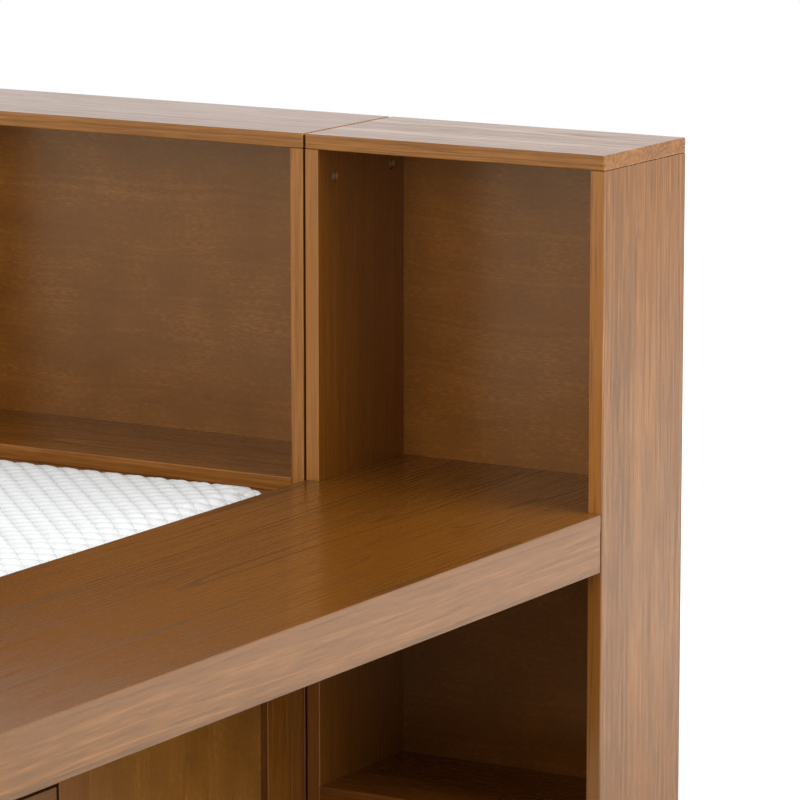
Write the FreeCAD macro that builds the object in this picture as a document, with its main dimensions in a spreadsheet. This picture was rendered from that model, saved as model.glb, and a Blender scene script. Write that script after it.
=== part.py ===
import FreeCAD, Part
import math
import os
import re
import Sketcher

# Bookcase headboard bed for a full-size mattress: a wide bookcase case and a narrow wing case side
# by side, a ledge that runs from the wing along the bed's right side, and a frame-and-panel bed box
# with a slatted base and two drawers under the ledge.
# Row frame: +X towards the ledge side, +Y towards the headboard's back, +Z up, with the origin on
# the floor under the middle of the whole bed. Sizes are in millimetres.

DRIVING = {
    # boards and plywood
    "board": 19,
    "ease": 1.2,
    "top_ease": 2,
    "back_ply": 3,
    "rabbet": 9,
    "divider": 15,
    # mattress
    "mattress_wide": 1372,
    "mattress_long": 1905,
    "mattress_thick": 203,
    "mattress_play": 5,
    "mattress_corner": 30,
    "mattress_roll": 12,
    "mattress_draw": 5,
    "mattress_crown": 3,
    "mattress_lift": 0.3,
    # the two bookcase cases
    "case_deep": 210,
    "case_high": 937,
    "wing_wide": 421,
    "case_seam": 3,
    "plinth_high": 88.5,
    "stretcher_high": 100,
    # ledge
    "ledge_top": 501,
    "ledge_gap": 2.7,
    "ledge_fit": 0.5,
    "apron_drop": 53,
    "ledge_cleat": 30,
    "wing_cleat": 20,
    "wing_cleat_set": 12,
    "batten_wide": 45,
    "batten_high": 20,
    "batten_set": 330,
    # frame-and-panel sides of the bed box
    "stile_wide": 87,
    "post_wide": 62,
    "rail_high": 62,
    "panel_bay": 392,
    "panel_ply": 6,
    "panel_recess": 10.4,
    "panel_groove": 8,
    "head_rail_high": 300,
    # slatted base
    "slat_top": 293,
    "slat_thick": 19,
    "slat_wide": 65,
    "slat_play": 1,
    "slat_cleat_deep": 30,
    "slat_cleat_high": 20,
    "beam_wide": 45,
    "beam_high": 70,
    "leg_set": 160,
    # drawer bays and drawers
    "drawer_head": 232,
    "drawer_sill": 60,
    "drawer_gap_side": 5,
    "drawer_gap_high": 3,
    "drawer_deep": 440,
    "drawer_tail": 30,
    "box_board": 12,
    "box_inset": 8,
    "box_high": 130,
    "box_rise": 7,
    "box_ply": 4,
    "box_ply_groove": 5,
    "box_ply_rise": 10,
    "runner_high": 20,
    "runner_rise": 60,
    "runner_set": 10,
    "runner_groove": 6.5,
    "slide_gap": 0.4,
    "scoop_radius": 70,
    "scoop_deep": 25,
    # bolts
    "bolt_shank": 6,
    "bolt_play": 0.2,
    "bolt_head": 12.5,
    "bolt_head_thick": 2.5,
    "bolt_sink": 6,
    "bolt_sink_bore": 13.5,
    "bolt_front_set": 40,
    "bolt_back_set": 33,
    "bolt_top_set": 56.4,
    "bolt_low_set": 57,
    "sleeve": 8,
    "sleeve_engage": 10,
    "bed_bolt_set": 180,
    "bed_bolt_drop": 50,
}

SLATS = 13
BED_LEGS = 3

doc = FreeCAD.newDocument("BookcaseBed")
sheet = doc.addObject("Spreadsheet::Sheet", "Sizes")
for row, (alias, value) in enumerate(DRIVING.items(), start=1):
    sheet.set(f"A{row}", alias)
    sheet.set(f"B{row}", str(value))
    sheet.setAlias(f"B{row}", alias)
doc.recompute()


def bound(text):
    """Turn a formula in the sheet's words into an expression that reads the sheet."""
    return re.sub(r"[a-z][a-z_]*", lambda word: "Sizes." + word.group(), text)


def attach(body, name, plane, offset="0"):
    """Add a sketch on one of the body's own origin planes, moved along the plane's normal."""
    sketch = body.newObject("Sketcher::SketchObject", name)
    support = next(item for item in body.Origin.OriginFeatures if item.Role == plane)
    sketch.AttachmentSupport = [(support, "")]
    sketch.MapMode = "FlatFace"
    if offset != "0":
        sketch.setExpression("AttachmentOffset.Base.z", bound(offset))
    return sketch


def measure(sketch, kind, points, formula):
    """Add a driving dimension whose value is a formula of the sheet."""
    index = sketch.addConstraint(Sketcher.Constraint(kind, *points, 1.0))
    name = f"size_{index}"
    sketch.renameConstraint(index, name)
    sketch.setExpression("Constraints." + name, bound(formula))


def place_point(sketch, geometry, point, across, up):
    """Dimension a point from the sketch's origin; a distance of 0 puts it on the axis."""
    for kind, axis, formula in (("DistanceX", -2, across), ("DistanceY", -1, up)):
        if formula == "0":
            sketch.addConstraint(Sketcher.Constraint("PointOnObject", geometry, point, axis))
        else:
            measure(sketch, kind, (-1, 1, geometry, point), formula)


def draw_rectangle(sketch, across, up, wide, high):
    """Draw a rectangle with its lower left corner at (across, up)."""
    first = sketch.GeometryCount
    corners = [FreeCAD.Vector(x, y, 0) for x, y in ((1, 1), (2, 1), (2, 2), (1, 2))]
    for side in range(4):
        line = Part.LineSegment(corners[side], corners[(side + 1) % 4])
        sketch.addGeometry(line, False)
    for side in range(4):
        joined = first + (side + 1) % 4
        sketch.addConstraint(Sketcher.Constraint("Coincident", first + side, 2, joined, 1))
    for side in range(4):
        level = "Horizontal" if side % 2 == 0 else "Vertical"
        sketch.addConstraint(Sketcher.Constraint(level, first + side))
    measure(sketch, "DistanceX", (first, 1, first, 2), wide)
    measure(sketch, "DistanceY", (first + 1, 1, first + 1, 2), high)
    place_point(sketch, first, 1, across, up)


def draw_circle(sketch, across, up, diameter):
    """Draw a circle with its centre at (across, up)."""
    index = sketch.addGeometry(Part.Circle(FreeCAD.Vector(1, 1, 0), FreeCAD.Vector(0, 0, 1), 1), False)
    measure(sketch, "Diameter", (index,), diameter)
    place_point(sketch, index, 3, across, up)


def draw_cushion_outline(sketch, wide, long, corner):
    """Draw a rectangle with round corners, centred on the sketch's origin."""
    across, along, turn = 500, 800, 50
    flat_x, flat_y = across - turn, along - turn
    sides = (
        ((-flat_x, -along), (flat_x, -along), (flat_x, -flat_y), -90),
        ((across, -flat_y), (across, flat_y), (flat_x, flat_y), 0),
        ((flat_x, along), (-flat_x, along), (-flat_x, flat_y), 90),
        ((-across, flat_y), (-across, -flat_y), (-flat_x, -flat_y), 180),
    )
    for start, end, centre, angle in sides:
        line = Part.LineSegment(FreeCAD.Vector(*start, 0), FreeCAD.Vector(*end, 0))
        circle = Part.Circle(FreeCAD.Vector(*centre, 0), FreeCAD.Vector(0, 0, 1), turn)
        begin = math.radians(angle)
        sketch.addGeometry(line, False)
        sketch.addGeometry(Part.ArcOfCircle(circle, begin, begin + math.pi / 2), False)
    for piece in range(8):
        sketch.addConstraint(Sketcher.Constraint("Tangent", piece, 2, (piece + 1) % 8, 1))
    for level, line in (("Horizontal", 0), ("Vertical", 2), ("Horizontal", 4), ("Vertical", 6)):
        sketch.addConstraint(Sketcher.Constraint(level, line))
    for arc in (3, 5, 7):
        sketch.addConstraint(Sketcher.Constraint("Equal", 1, arc))
    sketch.addConstraint(Sketcher.Constraint("Symmetric", 7, 3, 3, 3, -1, 1))
    measure(sketch, "Radius", (1,), corner)
    measure(sketch, "DistanceX", (7, 3, 1, 3), f"({wide}) - 2*({corner})")
    measure(sketch, "DistanceY", (1, 3, 3, 3), f"({long}) - 2*({corner})")


SUBPARTS = []


def new_body(label, at):
    """Start a sub-part whose corner or centre stands at a point given by three formulas."""
    body = doc.addObject("PartDesign::Body", label)
    body.Label = label
    for axis, formula in zip("xyz", at):
        body.setExpression("Placement.Base." + axis, bound(formula))
    SUBPARTS.append(body)
    return body


def free_edges(shape, seats):
    """Name the edges of a box that lie on none of the faces it is joined by."""
    box = shape.BoundBox
    planes = {
        "x-": ("XMin", "XMax", box.XMin),
        "x+": ("XMin", "XMax", box.XMax),
        "y-": ("YMin", "YMax", box.YMin),
        "y+": ("YMin", "YMax", box.YMax),
        "z-": ("ZMin", "ZMax", box.ZMin),
        "z+": ("ZMin", "ZMax", box.ZMax),
    }
    names = []
    for number, edge in enumerate(shape.Edges, start=1):
        joined = False
        for seat in seats:
            low, high, level = planes[seat]
            near_low = abs(getattr(edge.BoundBox, low) - level) < 0.01
            near_high = abs(getattr(edge.BoundBox, high) - level) < 0.01
            joined = joined or (near_low and near_high)
        if not joined:
            names.append(f"Edge{number}")
    return names


def cut_box(body, name, corner, size, repeats=(("0", "0"),)):
    """Cut a square-cornered groove, rabbet or notch, given in the board's own corner frame."""
    sketch = attach(body, name + "_outline", "XY_Plane", corner[2])
    for across, up in repeats:
        left = corner[0] if across == "0" else f"{corner[0]} + {across}"
        low = corner[1] if up == "0" else f"{corner[1]} + {up}"
        draw_rectangle(sketch, left, low, size[0], size[1])
    pocket = body.newObject("PartDesign::Pocket", name)
    pocket.Profile = sketch
    pocket.Reversed = True
    pocket.setExpression("Length", bound(size[2]))
    return pocket


def drill(body, name, axis, start, depth, diameter, centres):
    """Drill round holes along +X or +Y, given in the board's own corner frame."""
    if axis == "x":
        sketch = attach(body, name + "_outline", "YZ_Plane", start)
    else:
        sketch = attach(body, name + "_outline", "XZ_Plane", f"-({start})")
    for across, up in centres:
        draw_circle(sketch, across, up, diameter)
    pocket = body.newObject("PartDesign::Pocket", name)
    pocket.Profile = sketch
    pocket.Reversed = axis == "x"
    pocket.setExpression("Length", bound(depth))
    return pocket


def board(label, size, at, seats=(), copies=(("0", "0"),), eased="ease"):
    """Make a planed board, or a row of like boards, with its free edges rounded to a radius."""
    body = new_body(label, at)
    sketch = attach(body, label + "_outline", "XY_Plane")
    for across, up in copies:
        draw_rectangle(sketch, across, up, size[0], size[1])
    pad = body.newObject("PartDesign::Pad", label + "_board")
    pad.Profile = sketch
    pad.setExpression("Length", bound(size[2]))
    if eased != "0":
        fillet = body.newObject("PartDesign::Fillet", label + "_eased")
        if seats:
            doc.recompute()
            fillet.Base = (pad, free_edges(pad.Shape, seats))
        else:
            fillet.Base = (pad, [])
            fillet.UseAllEdges = True
        fillet.setExpression("Radius", bound(eased))
    return body


def rods(label, axis, at, steps, centres):
    """Make a set of like turned pieces: steps are (start, length, diameter) along +X or +Y."""
    body = new_body(label, at)
    for number, (start, length, diameter) in enumerate(steps, start=1):
        offset = start if axis == "x" else f"-({start})"
        plane = "YZ_Plane" if axis == "x" else "XZ_Plane"
        sketch = attach(body, f"{label}_circle_{number}", plane, offset)
        for across, up in centres:
            draw_circle(sketch, across, up, diameter)
        pad = body.newObject("PartDesign::Pad", f"{label}_step_{number}")
        pad.Profile = sketch
        pad.Reversed = axis != "x"
        pad.setExpression("Length", bound(length))
    return body


# Where the main planes of the bed lie, as formulas of the sheet.
MAIN_WIDE = "(mattress_wide + 2*mattress_play + 2*board)"
INNER_WIDE = f"({MAIN_WIDE} - 2*board)"
BED_LONG = "(mattress_long + 2*mattress_play + 2*board)"
INNER_LONG = f"({BED_LONG} - 2*board)"
X_RIGHT = f"(({MAIN_WIDE} + case_seam + wing_wide)/2)"
X_WING = f"({X_RIGHT} - wing_wide)"
X_BED = f"({X_WING} - case_seam)"
X_LEFT = f"({X_BED} - {MAIN_WIDE})"
Y_BACK = f"(({BED_LONG} + case_deep)/2)"
Y_FACE = f"({Y_BACK} - case_deep)"
Y_FOOT = f"({Y_FACE} - {BED_LONG})"
Z_LEDGE = "(ledge_top - board)"
SIDE_HIGH = "(case_high - board)"
SHELF_DEEP = "(case_deep - back_ply)"
WING_INNER = "(wing_wide - 2*board)"


# Bookcase case behind the pillows: two sides, a top, a shelf level with the ledge, a divider, a
# bottom board on a plinth, a stretcher that the bed is bolted to, and a plywood back in rabbets.
BOLT_HEIGHTS = (f"{SIDE_HIGH} + board - bolt_top_set", f"{Z_LEDGE} - bolt_low_set")
BOLT_CENTRES = [
    (across, height)
    for height in BOLT_HEIGHTS
    for across in ("bolt_front_set", "case_deep - bolt_back_set")
]

board(
    "main_top_board", (MAIN_WIDE, "case_deep", "board"), (X_LEFT, Y_FACE, SIDE_HIGH),
    eased="top_ease",
)

main_left_side = board(
    "main_left_side", ("board", "case_deep", SIDE_HIGH), (X_LEFT, Y_FACE, "0"), seats=("z+",)
)
cut_box(
    main_left_side, "main_left_rabbet",
    ("board - rabbet", SHELF_DEEP, "0"), ("rabbet", "back_ply", SIDE_HIGH),
)

main_right_side = board(
    "main_right_side", ("board", "case_deep", SIDE_HIGH), (f"{X_BED} - board", Y_FACE, "0"),
    seats=("z+",),
)
cut_box(
    main_right_side, "main_right_rabbet",
    ("0", SHELF_DEEP, "0"), ("rabbet", "back_ply", SIDE_HIGH),
)
drill(main_right_side, "main_bolt_sinks", "x", "0", "bolt_sink", "bolt_sink_bore", BOLT_CENTRES)
drill(
    main_right_side, "main_bolt_holes", "x",
    "bolt_sink", "board - bolt_sink", "sleeve + 2*bolt_play", BOLT_CENTRES,
)

board(
    "main_divider", ("divider", SHELF_DEEP, f"{SIDE_HIGH} - ledge_top"),
    (f"{X_LEFT} + ({MAIN_WIDE} - divider)/2", Y_FACE, "ledge_top"), seats=("z-", "z+", "y+"),
)
board(
    "main_shelf", (INNER_WIDE, SHELF_DEEP, "board"), (f"{X_LEFT} + board", Y_FACE, Z_LEDGE),
    seats=("x-", "x+", "y+"),
)
board(
    "main_bottom_board", (INNER_WIDE, SHELF_DEEP, "board"),
    (f"{X_LEFT} + board", Y_FACE, "plinth_high"), seats=("x-", "x+", "y+"),
)
board(
    "main_plinth", (INNER_WIDE, "board", "plinth_high"), (f"{X_LEFT} + board", Y_FACE, "0"),
    seats=("x-", "x+", "z+"),
)
main_stretcher = board(
    "main_stretcher", (INNER_WIDE, "board", "stretcher_high"),
    (f"{X_LEFT} + board", Y_FACE, f"{Z_LEDGE} - stretcher_high"), seats=("x-", "x+", "z+"),
)
board(
    "main_back_panel", (f"{INNER_WIDE} + 2*rabbet", "back_ply", f"{SIDE_HIGH} - plinth_high"),
    (f"{X_LEFT} + board - rabbet", f"{Y_BACK} - back_ply", "plinth_high"), eased="0",
)


# Wing case beside it, under the same top line: its tall cubby stands on the ledge and its lower
# cubby on a bottom board.
board(
    "wing_top_board", ("wing_wide", "case_deep", "board"), (X_WING, Y_FACE, SIDE_HIGH),
    eased="top_ease",
)

wing_inner_side = board(
    "wing_inner_side", ("board", "case_deep", SIDE_HIGH), (X_WING, Y_FACE, "0"), seats=("z+",)
)
cut_box(
    wing_inner_side, "wing_inner_rabbet",
    ("board - rabbet", SHELF_DEEP, "0"), ("rabbet", "back_ply", SIDE_HIGH),
)
drill(
    wing_inner_side, "wing_bolt_sinks", "x",
    "board - bolt_sink", "bolt_sink", "bolt_sink_bore", BOLT_CENTRES,
)
drill(
    wing_inner_side, "wing_bolt_holes", "x",
    "0", "board - bolt_sink", "bolt_shank + 2*bolt_play", BOLT_CENTRES,
)

wing_outer_side = board(
    "wing_outer_side", ("board", "case_deep", SIDE_HIGH), (f"{X_RIGHT} - board", Y_FACE, "0"),
    seats=("z+",),
)
cut_box(
    wing_outer_side, "wing_outer_rabbet",
    ("0", SHELF_DEEP, "0"), ("rabbet", "back_ply", SIDE_HIGH),
)

board(
    "wing_bottom_shelf", (WING_INNER, SHELF_DEEP, "board"),
    (f"{X_WING} + board", Y_FACE, "plinth_high"), seats=("x-", "x+", "y+"),
)
board(
    "wing_plinth", (WING_INNER, "board", "plinth_high"), (f"{X_WING} + board", Y_FACE, "0"),
    seats=("x-", "x+", "z+"),
)
board(
    "wing_back_panel", (f"{WING_INNER} + 2*rabbet", "back_ply", f"{SIDE_HIGH} - plinth_high"),
    (f"{X_WING} + board - rabbet", f"{Y_BACK} - back_ply", "plinth_high"), eased="0",
)
board(
    "wing_ledge_cleats", ("wing_cleat", f"{SHELF_DEEP} - 2*wing_cleat_set", "wing_cleat"),
    (f"{X_WING} + board", f"{Y_FACE} + wing_cleat_set", f"{Z_LEDGE} - wing_cleat"),
    copies=(("0", "0"), (f"{WING_INNER} - wing_cleat", "0")),
)


# Bolts that draw the two cases together: a flat head in the wing's counterbore, and a flanged
# sleeve nut let into the bookcase case from the other side.
rods(
    "case_bolts", "x", (f"{X_WING} + board - bolt_sink", Y_FACE, "0"),
    (
        ("0", "bolt_head_thick", "bolt_head"),
        (
            "-(board - bolt_sink + case_seam + sleeve_engage)",
            "board - bolt_sink + case_seam + sleeve_engage",
            "bolt_shank",
        ),
    ),
    BOLT_CENTRES,
)
case_sleeve_nuts = rods(
    "case_sleeve_nuts", "x", (f"{X_BED} - board + bolt_sink", Y_FACE, "0"),
    (
        ("-bolt_head_thick", "bolt_head_thick", "bolt_head"),
        ("0", "board - bolt_sink", "sleeve"),
    ),
    BOLT_CENTRES,
)
drill(
    case_sleeve_nuts, "sleeve_bores", "x",
    "board - bolt_sink - sleeve_engage - bolt_play", "sleeve_engage + bolt_play",
    "bolt_shank + bolt_play", BOLT_CENTRES,
)


# Ledge: a wide board with a tongue that runs back into the wing, an apron under its outer edge,
# a cleat on the bed's side, battens across its underside and a gable at its foot end.
LEDGE_LONG = f"({BED_LONG} + {SHELF_DEEP} - ledge_fit)"
NOTCH_FROM = f"({BED_LONG} - ledge_gap)"

ledge_top = board(
    "ledge_top_board", ("wing_wide", LEDGE_LONG, "board"), (X_WING, Y_FOOT, Z_LEDGE),
    seats=("z-", "y+"),
)
cut_box(
    ledge_top, "ledge_notches", ("0", NOTCH_FROM, "0"),
    ("board + ledge_fit", f"{LEDGE_LONG} - {NOTCH_FROM}", "board"),
    repeats=(("0", "0"), ("wing_wide - board - ledge_fit", "0")),
)
board(
    "ledge_apron", ("board", NOTCH_FROM, "apron_drop"),
    (f"{X_RIGHT} - board", Y_FOOT, f"{Z_LEDGE} - apron_drop"), seats=("z+",),
)
board(
    "ledge_side_cleat", ("ledge_cleat", f"{NOTCH_FROM} - board", "ledge_cleat"),
    (X_BED, f"{Y_FOOT} + board", f"{Z_LEDGE} - ledge_cleat"),
)
BATTEN_STEP = f"(({BED_LONG} - 2*batten_set - batten_wide)/2)"
board(
    "ledge_battens",
    ("wing_wide + case_seam - ledge_cleat - board", "batten_wide", "batten_high"),
    (f"{X_BED} + ledge_cleat", f"{Y_FOOT} + batten_set", f"{Z_LEDGE} - batten_high"),
    copies=(("0", "0"), ("0", BATTEN_STEP), ("0", f"2*{BATTEN_STEP}")),
)
ledge_gable = board(
    "ledge_foot_gable", ("wing_wide + case_seam", "board", Z_LEDGE), (X_BED, Y_FOOT, "0"),
    seats=("z+",),
)
cut_box(
    ledge_gable, "apron_notch",
    ("wing_wide + case_seam - board", "0", f"{Z_LEDGE} - apron_drop"),
    ("board", "board", "apron_drop"),
)


# Right side of the bed box: stiles and rails round a recessed plywood panel at the head end, and
# the openings of two drawers towards the foot.
DRAWER_BAY = f"(({BED_LONG} - 2*stile_wide - panel_bay - 2*post_wide)/2)"
DRAWERS_LONG = f"(2*{DRAWER_BAY} + post_wide)"
X_FRAME = f"({X_BED} - board)"
Y_MID_STILE = f"({Y_FACE} - stile_wide - panel_bay - post_wide)"
PANEL_LOW = "(rail_high - panel_groove)"
PANEL_HIGH = f"({Z_LEDGE} - 2*rail_high + 2*panel_groove)"
PANEL_IN = "(board - panel_recess - panel_ply)"

right_head_stile = board(
    "right_head_stile", ("board", "stile_wide", Z_LEDGE), (X_FRAME, f"{Y_FACE} - stile_wide", "0"),
)
cut_box(
    right_head_stile, "head_stile_groove",
    (PANEL_IN, "0", PANEL_LOW), ("panel_ply", "panel_groove", PANEL_HIGH),
)
right_mid_stile = board(
    "right_mid_stile", ("board", "post_wide", Z_LEDGE), (X_FRAME, Y_MID_STILE, "0"),
)
cut_box(
    right_mid_stile, "mid_stile_groove",
    (PANEL_IN, "post_wide - panel_groove", PANEL_LOW), ("panel_ply", "panel_groove", PANEL_HIGH),
)
board("right_foot_stile", ("board", "stile_wide", Z_LEDGE), (X_FRAME, Y_FOOT, "0"))

right_head_top_rail = board(
    "right_head_top_rail", ("board", "panel_bay", "rail_high"),
    (X_FRAME, f"{Y_MID_STILE} + post_wide", f"{Z_LEDGE} - rail_high"), seats=("y-", "y+"),
)
cut_box(
    right_head_top_rail, "right_top_groove",
    (PANEL_IN, "0", "0"), ("panel_ply", "panel_bay", "panel_groove"),
)
right_head_bottom_rail = board(
    "right_head_bottom_rail", ("board", "panel_bay", "rail_high"),
    (X_FRAME, f"{Y_MID_STILE} + post_wide", "0"), seats=("y-", "y+"),
)
cut_box(
    right_head_bottom_rail, "right_bottom_groove",
    (PANEL_IN, "0", PANEL_LOW), ("panel_ply", "panel_bay", "panel_groove"),
)
board(
    "right_side_panel", ("panel_ply", "panel_bay + 2*panel_groove", PANEL_HIGH),
    (f"{X_FRAME} + {PANEL_IN}", f"{Y_MID_STILE} + post_wide - panel_groove", PANEL_LOW),
    eased="0",
)
board(
    "right_drawer_top_rail", ("board", DRAWERS_LONG, f"{Z_LEDGE} - drawer_head"),
    (X_FRAME, f"{Y_FOOT} + stile_wide", "drawer_head"), seats=("y-", "y+"),
)
board(
    "right_drawer_bottom_rail", ("board", DRAWERS_LONG, "drawer_sill"),
    (X_FRAME, f"{Y_FOOT} + stile_wide", "0"), seats=("y-", "y+"),
)
board(
    "right_drawer_post", ("board", "post_wide", "drawer_head - drawer_sill"),
    (X_FRAME, f"{Y_FOOT} + stile_wide + {DRAWER_BAY}", "drawer_sill"), seats=("z-", "z+"),
)


# Left side of the bed box: the same frame, with two long recessed panels.
LEFT_BAY = f"(({BED_LONG} - 2*stile_wide - post_wide)/2)"
RAIL_LONG = f"({BED_LONG} - 2*stile_wide)"

left_head_stile = board(
    "left_head_stile", ("board", "stile_wide", Z_LEDGE), (X_LEFT, f"{Y_FACE} - stile_wide", "0"),
)
cut_box(
    left_head_stile, "left_head_groove",
    ("panel_recess", "0", PANEL_LOW), ("panel_ply", "panel_groove", PANEL_HIGH),
)
left_foot_stile = board(
    "left_foot_stile", ("board", "stile_wide", Z_LEDGE), (X_LEFT, Y_FOOT, "0"),
)
cut_box(
    left_foot_stile, "left_foot_groove",
    ("panel_recess", "stile_wide - panel_groove", PANEL_LOW),
    ("panel_ply", "panel_groove", PANEL_HIGH),
)
left_mid_stile = board(
    "left_mid_stile", ("board", "post_wide", f"{Z_LEDGE} - 2*rail_high"),
    (X_LEFT, f"{Y_FOOT} + stile_wide + {LEFT_BAY}", "rail_high"), seats=("z-", "z+"),
)
cut_box(
    left_mid_stile, "left_mid_grooves",
    ("panel_recess", "0", "0"), ("panel_ply", "panel_groove", f"{Z_LEDGE} - 2*rail_high"),
    repeats=(("0", "0"), ("0", "post_wide - panel_groove")),
)
left_top_rail = board(
    "left_top_rail", ("board", RAIL_LONG, "rail_high"),
    (X_LEFT, f"{Y_FOOT} + stile_wide", f"{Z_LEDGE} - rail_high"), seats=("y-", "y+"),
)
cut_box(
    left_top_rail, "left_top_groove",
    ("panel_recess", "0", "0"), ("panel_ply", RAIL_LONG, "panel_groove"),
)
left_bottom_rail = board(
    "left_bottom_rail", ("board", RAIL_LONG, "rail_high"),
    (X_LEFT, f"{Y_FOOT} + stile_wide", "0"), seats=("y-", "y+"),
)
cut_box(
    left_bottom_rail, "left_bottom_groove",
    ("panel_recess", "0", PANEL_LOW), ("panel_ply", RAIL_LONG, "panel_groove"),
)
board(
    "left_side_panels", ("panel_ply", f"{LEFT_BAY} + 2*panel_groove", PANEL_HIGH),
    (f"{X_LEFT} + panel_recess", f"{Y_FOOT} + stile_wide - panel_groove", PANEL_LOW),
    copies=(("0", "0"), ("0", f"{LEFT_BAY} + post_wide")), eased="0",
)


# Foot end and head end of the bed box, fixed between its sides.
FOOT_BAY = f"({INNER_WIDE} - 2*stile_wide)"
X_INNER = f"({X_LEFT} + board)"

foot_stiles = board(
    "foot_stiles", ("stile_wide", "board", Z_LEDGE), (X_INNER, Y_FOOT, "0"),
    copies=(("0", "0"), (f"{INNER_WIDE} - stile_wide", "0")),
)
cut_box(
    foot_stiles, "foot_stile_grooves",
    ("stile_wide - panel_groove", "panel_recess", PANEL_LOW),
    ("panel_groove", "panel_ply", PANEL_HIGH),
    repeats=(("0", "0"), (f"{FOOT_BAY} + panel_groove", "0")),
)
foot_top_rail = board(
    "foot_top_rail", (FOOT_BAY, "board", "rail_high"),
    (f"{X_INNER} + stile_wide", Y_FOOT, f"{Z_LEDGE} - rail_high"), seats=("x-", "x+"),
)
cut_box(
    foot_top_rail, "foot_top_groove",
    ("0", "panel_recess", "0"), (FOOT_BAY, "panel_ply", "panel_groove"),
)
foot_bottom_rail = board(
    "foot_bottom_rail", (FOOT_BAY, "board", "rail_high"),
    (f"{X_INNER} + stile_wide", Y_FOOT, "0"), seats=("x-", "x+"),
)
cut_box(
    foot_bottom_rail, "foot_bottom_groove",
    ("0", "panel_recess", PANEL_LOW), (FOOT_BAY, "panel_ply", "panel_groove"),
)
board(
    "foot_panel", (f"{FOOT_BAY} + 2*panel_groove", "panel_ply", PANEL_HIGH),
    (f"{X_INNER} + stile_wide - panel_groove", f"{Y_FOOT} + panel_recess", PANEL_LOW),
    eased="0",
)

BED_BOLT_HEIGHT = "stretcher_high - bed_bolt_drop"
BED_BOLTS = (("bed_bolt_set", BED_BOLT_HEIGHT), (f"{INNER_WIDE} - bed_bolt_set", BED_BOLT_HEIGHT))
RAIL_BOLT_HEIGHT = "head_rail_high - bed_bolt_drop"
RAIL_BOLTS = (("bed_bolt_set", RAIL_BOLT_HEIGHT), (f"{INNER_WIDE} - bed_bolt_set", RAIL_BOLT_HEIGHT))

head_rail = board(
    "head_rail", (INNER_WIDE, "board", "head_rail_high"),
    (X_INNER, f"{Y_FACE} - board", f"{Z_LEDGE} - head_rail_high"), seats=("x-", "x+"),
)
drill(head_rail, "rail_bolt_sinks", "y", "0", "bolt_sink", "bolt_sink_bore", RAIL_BOLTS)
drill(
    head_rail, "rail_bolt_holes", "y",
    "bolt_sink", "board - bolt_sink", "bolt_shank + 2*bolt_play", RAIL_BOLTS,
)
drill(
    main_stretcher, "stretcher_bolt_holes", "y",
    "0", "board", "bolt_shank + 2*bolt_play", BED_BOLTS,
)
rods(
    "bed_bolts", "y",
    (X_INNER, f"{Y_FACE} - board + bolt_sink", f"{Z_LEDGE} - head_rail_high"),
    (
        ("-bolt_head_thick", "bolt_head_thick", "bolt_head"),
        ("0", "2*board - bolt_sink", "bolt_shank"),
        ("2*board - bolt_sink", "bolt_head_thick", "bolt_head"),
    ),
    RAIL_BOLTS,
)


# Slatted base: cleats on the sides, a beam on legs along the middle, and the slats across them.
Z_CLEAT = "(slat_top - slat_thick - slat_cleat_high)"
BEAM_LOW = "(slat_top - slat_thick - beam_high)"
LEG_STEP = f"(({INNER_LONG} - 2*leg_set - beam_wide)/{BED_LEGS - 1})"
SLAT_STEP = f"(({INNER_LONG} - 2*slat_play - slat_wide)/{SLATS - 1})"

board(
    "slat_cleats", ("slat_cleat_deep", INNER_LONG, "slat_cleat_high"),
    (X_INNER, f"{Y_FOOT} + board", Z_CLEAT),
    copies=(("0", "0"), (f"{INNER_WIDE} - slat_cleat_deep", "0")),
)
board(
    "centre_beam", ("beam_wide", INNER_LONG, "beam_high"),
    (f"{X_LEFT} + ({MAIN_WIDE} - beam_wide)/2", f"{Y_FOOT} + board", BEAM_LOW),
)
board(
    "beam_legs", ("beam_wide", "beam_wide", BEAM_LOW),
    (f"{X_LEFT} + ({MAIN_WIDE} - beam_wide)/2", f"{Y_FOOT} + board + leg_set", "0"),
    copies=[("0", f"{number}*{LEG_STEP}") for number in range(BED_LEGS)],
)
board(
    "slats", (f"{INNER_WIDE} - 2*slat_play", "slat_wide", "slat_thick"),
    (f"{X_INNER} + slat_play", f"{Y_FOOT} + board + slat_play", "slat_top - slat_thick"),
    copies=[("0", f"{number}*{SLAT_STEP}") for number in range(SLATS)],
)


# Drawer bays: partitions behind the stiles, a plywood back, and wooden runners on the partitions.
BAY_STEP = f"({DRAWER_BAY} + post_wide)"
PARTITION_SET = "((post_wide - board)/2)"
BAY_DEEP = "(drawer_deep + drawer_tail)"
X_BAY = f"({X_FRAME} - {BAY_DEEP})"
Y_PARTITIONS = f"({Y_FOOT} + stile_wide - {PARTITION_SET} - board)"
RUNNER_WIDE = (
    f"({PARTITION_SET} + drawer_gap_side + box_inset + runner_groove - slide_gap)"
)
Z_BOX = "(drawer_sill + drawer_gap_high + box_rise)"

board(
    "drawer_partitions", (BAY_DEEP, "board", Z_CLEAT), (X_BAY, Y_PARTITIONS, "0"),
    copies=(("0", "0"), ("0", BAY_STEP), ("0", f"2*{BAY_STEP}")),
)
board(
    "drawer_bay_back", ("panel_ply", f"2*{BAY_STEP} + board", Z_CLEAT),
    (f"{X_BAY} - panel_ply", Y_PARTITIONS, "0"), eased="0",
)
FAR_RUNNER = f"{BAY_STEP} - board - {RUNNER_WIDE}"
board(
    "drawer_runners", (f"{BAY_DEEP} - runner_set", RUNNER_WIDE, "runner_high"),
    (X_BAY, f"{Y_PARTITIONS} + board", f"{Z_BOX} + runner_rise + slide_gap"),
    copies=(
        ("0", "0"), ("0", FAR_RUNNER), ("0", BAY_STEP), ("0", f"{BAY_STEP} + {FAR_RUNNER}"),
    ),
)


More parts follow.
